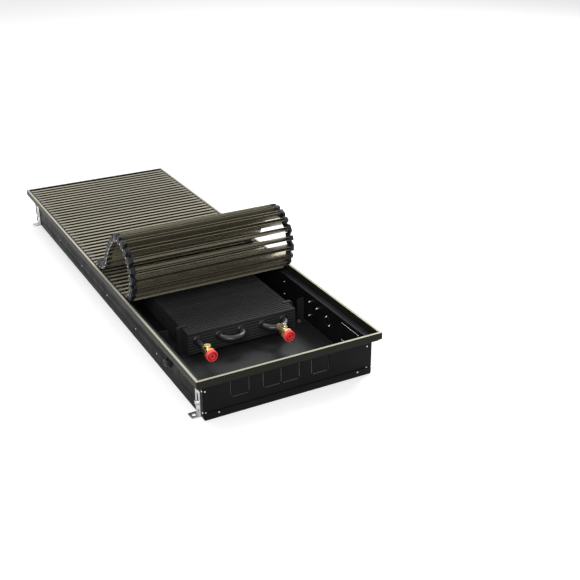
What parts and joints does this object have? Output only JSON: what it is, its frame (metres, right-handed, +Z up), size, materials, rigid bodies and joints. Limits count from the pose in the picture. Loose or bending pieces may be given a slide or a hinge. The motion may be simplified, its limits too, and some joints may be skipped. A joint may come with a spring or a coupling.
{
  "type": "trench convector heater",
  "caption": "Long floor-trench heater: black casing with a finned water coil, brass unions with shipping caps, an anodised frame and a roll-up slat grille folded back at one end.",
  "frame": {"origin": "on the floor, under the middle of the frame", "axes": "+Z up, +Y along the heater away from the pipe end, +X to the right seen from the pipe end"},
  "size_m": [0.4246, 1.25, 0.2376],
  "materials": {
    "black_steel": "satin black powder coat",
    "seat_strip": "satin blue-black coat",
    "frame_anodised": "olive bronze anodised, satin",
    "slat_anodised": "olive bronze anodised, satin",
    "fins_black": "satin black",
    "tube_black": "semi-gloss black",
    "fitting_brass": "machined brass",
    "vent_chrome": "nickel plated",
    "cap_red": "moulded red",
    "zinc_steel": "zinc plated",
    "gland_plastic": "moulded black"
  },
  "bodies": {
    "casing": {"casing_floor": "black_steel", "side_panel_left": "black_steel", "side_panel_right": "black_steel", "front_end_plate": "black_steel", "rear_end_plate": "black_steel", "front_sill": "black_steel", "rear_sill": "black_steel", "grille_seat": "seat_strip", "frame_front": "frame_anodised", "frame_rear": "frame_anodised", "frame_left": "frame_anodised", "frame_right": "frame_anodised", "fin_pack": "fins_black", "coil_tube": "tube_black", "left_fitting_body": "fitting_brass", "right_fitting_body": "fitting_brass", "pack_bracket_front_left": "black_steel", "pack_bracket_front_right": "black_steel", "pack_bracket_rear_left": "black_steel", "pack_bracket_rear_right": "black_steel", "lying_grille": "slat_anodised", "cable_gland": "gland_plastic"},
    "slat_01": {"slat_01": "slat_anodised"},
    "slat_02": {"slat_02": "slat_anodised"},
    "slat_03": {"slat_03": "slat_anodised"},
    "slat_04": {"slat_04": "slat_anodised"},
    "slat_05": {"slat_05": "slat_anodised"},
    "slat_06": {"slat_06": "slat_anodised"},
    "slat_07": {"slat_07": "slat_anodised"},
    "slat_08": {"slat_08": "slat_anodised"},
    "slat_09": {"slat_09": "slat_anodised"},
    "slat_10": {"slat_10": "slat_anodised"},
    "slat_11": {"slat_11": "slat_anodised"},
    "slat_12": {"slat_12": "slat_anodised"},
    "slat_13": {"slat_13": "slat_anodised"},
    "slat_14": {"slat_14": "slat_anodised"},
    "slat_15": {"slat_15": "slat_anodised"},
    "slat_16": {"slat_16": "slat_anodised"},
    "slat_17": {"slat_17": "slat_anodised"},
    "slat_18": {"slat_18": "slat_anodised"},
    "slat_19": {"slat_19": "slat_anodised"},
    "slat_20": {"slat_20": "slat_anodised"},
    "slat_21": {"slat_21": "slat_anodised"},
    "left_pipe_cap": {"left_pipe_cap": "cap_red"},
    "left_union_nut": {"left_union_nut": "fitting_brass"},
    "right_pipe_cap": {"right_pipe_cap": "cap_red"},
    "right_union_nut": {"right_union_nut": "fitting_brass"},
    "blanking_plug": {"blanking_plug": "fitting_brass"},
    "air_vent_body": {"air_vent_body": "vent_chrome"},
    "air_vent_screw": {"air_vent_screw": "vent_chrome"},
    "levelling_foot_front_left": {"levelling_foot_front_left": "zinc_steel"},
    "clamp_bolt_front_left": {"clamp_bolt_front_left": "zinc_steel"},
    "levelling_foot_front_right": {"levelling_foot_front_right": "zinc_steel"},
    "clamp_bolt_front_right": {"clamp_bolt_front_right": "zinc_steel"},
    "levelling_foot_rear_left": {"levelling_foot_rear_left": "zinc_steel"},
    "clamp_bolt_rear_left": {"clamp_bolt_rear_left": "zinc_steel"},
    "levelling_foot_rear_right": {"levelling_foot_rear_right": "zinc_steel"},
    "clamp_bolt_rear_right": {"clamp_bolt_rear_right": "zinc_steel"},
    "gland_dome_nut": {"gland_dome_nut": "gland_plastic"},
    "gland_lock_nut": {"gland_lock_nut": "gland_plastic"}
  },
  "joints": [
    {"name": "grille_hinge_01", "type": "hinge", "parent": "casing", "child": "slat_01", "pos_m": [0, -0.19, 0.0943], "axis": [1, 0, 0], "range_deg": [0, 17.6]},
    {"name": "grille_hinge_02", "type": "hinge", "parent": "slat_01", "child": "slat_02", "pos_m": [0, -0.20906, 0.10035], "axis": [1, 0, 0], "range_deg": [0, 17.6]},
    {"name": "grille_hinge_03", "type": "hinge", "parent": "slat_02", "child": "slat_03", "pos_m": [0, -0.22541, 0.11188], "axis": [1, 0, 0], "range_deg": [0, 17.6]},
    {"name": "grille_hinge_04", "type": "hinge", "parent": "slat_03", "child": "slat_04", "pos_m": [0, -0.2375, 0.12781], "axis": [1, 0, 0], "range_deg": [0, 17.6]},
    {"name": "grille_hinge_05", "type": "hinge", "parent": "slat_04", "child": "slat_05", "pos_m": [0, -0.24421, 0.14665], "axis": [1, 0, 0], "range_deg": [0, 17.6]},
    {"name": "grille_hinge_06", "type": "hinge", "parent": "slat_05", "child": "slat_06", "pos_m": [0, -0.24491, 0.16664], "axis": [1, 0, 0], "range_deg": [0, 17.6]},
    {"name": "grille_hinge_07", "type": "hinge", "parent": "slat_06", "child": "slat_07", "pos_m": [0, -0.23953, 0.1859], "axis": [1, 0, 0], "range_deg": [0, 17.6]},
    {"name": "grille_hinge_08", "type": "hinge", "parent": "slat_07", "child": "slat_08", "pos_m": [0, -0.22858, 0.20263], "axis": [1, 0, 0], "range_deg": [0, 17.6]},
    {"name": "grille_hinge_09", "type": "hinge", "parent": "slat_08", "child": "slat_09", "pos_m": [0, -0.21308, 0.21527], "axis": [1, 0, 0], "range_deg": [0, 17.6]},
    {"name": "grille_hinge_10", "type": "hinge", "parent": "slat_09", "child": "slat_10", "pos_m": [0, -0.19448, 0.22264], "axis": [1, 0, 0], "range_deg": [0, 17.6]},
    {"name": "grille_hinge_11", "type": "hinge", "parent": "slat_10", "child": "slat_11", "pos_m": [0, -0.17453, 0.22403], "axis": [1, 0, 0], "range_deg": [0, 20.29]},
    {"name": "grille_hinge_12", "type": "hinge", "parent": "slat_11", "child": "slat_12", "pos_m": [0, -0.15533, 0.21842], "axis": [1, 0, 0], "range_deg": [0, 20.29]},
    {"name": "grille_hinge_13", "type": "hinge", "parent": "slat_12", "child": "slat_13", "pos_m": [0, -0.13927, 0.20651], "axis": [1, 0, 0], "range_deg": [0, 4.4]},
    {"name": "grille_hinge_14", "type": "hinge", "parent": "slat_13", "child": "slat_14", "pos_m": [0, -0.12417, 0.1934], "axis": [1, 0, 0], "range_deg": [0, 4.4]},
    {"name": "grille_hinge_15", "type": "hinge", "parent": "slat_14", "child": "slat_15", "pos_m": [0, -0.11012, 0.17916], "axis": [1, 0, 0], "range_deg": [0, 4.4]},
    {"name": "grille_hinge_16", "type": "hinge", "parent": "slat_15", "child": "slat_16", "pos_m": [0, -0.0972, 0.16389], "axis": [1, 0, 0], "range_deg": [0, 4.4]},
    {"name": "grille_hinge_17", "type": "hinge", "parent": "slat_16", "child": "slat_17", "pos_m": [0, -0.08549, 0.14768], "axis": [1, 0, 0], "range_deg": [0, 4.4]},
    {"name": "grille_hinge_18", "type": "hinge", "parent": "slat_17", "child": "slat_18", "pos_m": [0, -0.07506, 0.13061], "axis": [1, 0, 0], "range_deg": [-14.64, 0]},
    {"name": "grille_hinge_19", "type": "hinge", "parent": "slat_18", "child": "slat_19", "pos_m": [0, -0.06066, 0.11674], "axis": [1, 0, 0], "range_deg": [-14.64, 0]},
    {"name": "grille_hinge_20", "type": "hinge", "parent": "slat_19", "child": "slat_20", "pos_m": [0, -0.04321, 0.10696], "axis": [1, 0, 0], "range_deg": [-14.64, 0]},
    {"name": "grille_hinge_21", "type": "hinge", "parent": "slat_20", "child": "slat_21", "pos_m": [0, -0.02386, 0.1019], "axis": [1, 0, 0], "range_deg": [-14.64, 0]},
    {"name": "left_pipe_cap_turn", "type": "hinge", "parent": "casing", "child": "left_pipe_cap", "pos_m": [-0.101, -0.4486, 0.04], "axis": [0, -1, 0], "continuous": true},
    {"name": "left_union_nut_turn", "type": "hinge", "parent": "casing", "child": "left_union_nut", "pos_m": [-0.101, -0.43955, 0.04], "axis": [0, -1, 0], "continuous": true},
    {"name": "right_pipe_cap_turn", "type": "hinge", "parent": "casing", "child": "right_pipe_cap", "pos_m": [0.0845, -0.4486, 0.04], "axis": [0, -1, 0], "continuous": true},
    {"name": "right_union_nut_turn", "type": "hinge", "parent": "casing", "child": "right_union_nut", "pos_m": [0.0845, -0.43955, 0.04], "axis": [0, -1, 0], "continuous": true},
    {"name": "blanking_plug_turn", "type": "hinge", "parent": "casing", "child": "blanking_plug", "pos_m": [-0.101, -0.427, 0.0528], "axis": [0, 0, 1], "continuous": true},
    {"name": "air_vent_body_turn", "type": "hinge", "parent": "casing", "child": "air_vent_body", "pos_m": [0.0845, -0.427, 0.0528], "axis": [0, 0, 1], "continuous": true},
    {"name": "air_vent_screw_turn", "type": "hinge", "parent": "air_vent_body", "child": "air_vent_screw", "pos_m": [0.0845, -0.427, 0.0605], "axis": [0, 0, 1], "range_deg": [0, 360]},
    {"name": "levelling_foot_front_left_slide", "type": "slide", "parent": "casing", "child": "levelling_foot_front_left", "axis": [0, 0, -1], "range_m": [0, 0.018]},
    {"name": "clamp_bolt_front_left_turn", "type": "hinge", "parent": "casing", "child": "clamp_bolt_front_left", "pos_m": [-0.1936, -0.5855, 0.0283], "axis": [-1, 0, 0], "continuous": true},
    {"name": "levelling_foot_front_right_slide", "type": "slide", "parent": "casing", "child": "levelling_foot_front_right", "axis": [0, 0, -1], "range_m": [0, 0.018]},
    {"name": "clamp_bolt_front_right_turn", "type": "hinge", "parent": "casing", "child": "clamp_bolt_front_right", "pos_m": [0.1936, -0.5855, 0.0283], "axis": [1, 0, 0], "continuous": true},
    {"name": "levelling_foot_rear_left_slide", "type": "slide", "parent": "casing", "child": "levelling_foot_rear_left", "axis": [0, 0, -1], "range_m": [0, 0.018]},
    {"name": "clamp_bolt_rear_left_turn", "type": "hinge", "parent": "casing", "child": "clamp_bolt_rear_left", "pos_m": [-0.1936, 0.5855, 0.0283], "axis": [-1, 0, 0], "continuous": true},
    {"name": "levelling_foot_rear_right_slide", "type": "slide", "parent": "casing", "child": "levelling_foot_rear_right", "axis": [0, 0, -1], "range_m": [0, 0.018]},
    {"name": "clamp_bolt_rear_right_turn", "type": "hinge", "parent": "casing", "child": "clamp_bolt_rear_right", "pos_m": [0.1936, 0.5855, 0.0283], "axis": [1, 0, 0], "continuous": true},
    {"name": "gland_dome_nut_turn", "type": "hinge", "parent": "casing", "child": "gland_dome_nut", "pos_m": [-0.1988, -0.435, 0.044], "axis": [-1, 0, 0], "continuous": true},
    {"name": "gland_lock_nut_turn", "type": "hinge", "parent": "casing", "child": "gland_lock_nut", "pos_m": [-0.1872, -0.435, 0.044], "axis": [-1, 0, 0], "continuous": true}
  ],
  "couplings": [
    {"joint": "grille_hinge_01", "follows": "grille_hinge_19", "ratio": -1.202},
    {"joint": "grille_hinge_02", "follows": "grille_hinge_19", "ratio": -1.202},
    {"joint": "grille_hinge_03", "follows": "grille_hinge_19", "ratio": -1.202},
    {"joint": "grille_hinge_04", "follows": "grille_hinge_19", "ratio": -1.202},
    {"joint": "grille_hinge_05", "follows": "grille_hinge_19", "ratio": -1.202},
    {"joint": "grille_hinge_06", "follows": "grille_hinge_19", "ratio": -1.202},
    {"joint": "grille_hinge_07", "follows": "grille_hinge_19", "ratio": -1.202},
    {"joint": "grille_hinge_08", "follows": "grille_hinge_19", "ratio": -1.202},
    {"joint": "grille_hinge_09", "follows": "grille_hinge_19", "ratio": -1.202},
    {"joint": "grille_hinge_10", "follows": "grille_hinge_19", "ratio": -1.202},
    {"joint": "grille_hinge_11", "follows": "grille_hinge_19", "ratio": -1.3853},
    {"joint": "grille_hinge_12", "follows": "grille_hinge_19", "ratio": -1.3853},
    {"joint": "grille_hinge_13", "follows": "grille_hinge_19", "ratio": -0.3005},
    {"joint": "grille_hinge_14", "follows": "grille_hinge_19", "ratio": -0.3005},
    {"joint": "grille_hinge_15", "follows": "grille_hinge_19", "ratio": -0.3005},
    {"joint": "grille_hinge_16", "follows": "grille_hinge_19", "ratio": -0.3005},
    {"joint": "grille_hinge_17", "follows": "grille_hinge_19", "ratio": -0.3005},
    {"joint": "grille_hinge_18", "follows": "grille_hinge_19", "ratio": 1},
    {"joint": "grille_hinge_20", "follows": "grille_hinge_19", "ratio": 1},
    {"joint": "grille_hinge_21", "follows": "grille_hinge_19", "ratio": 1}
  ]
}
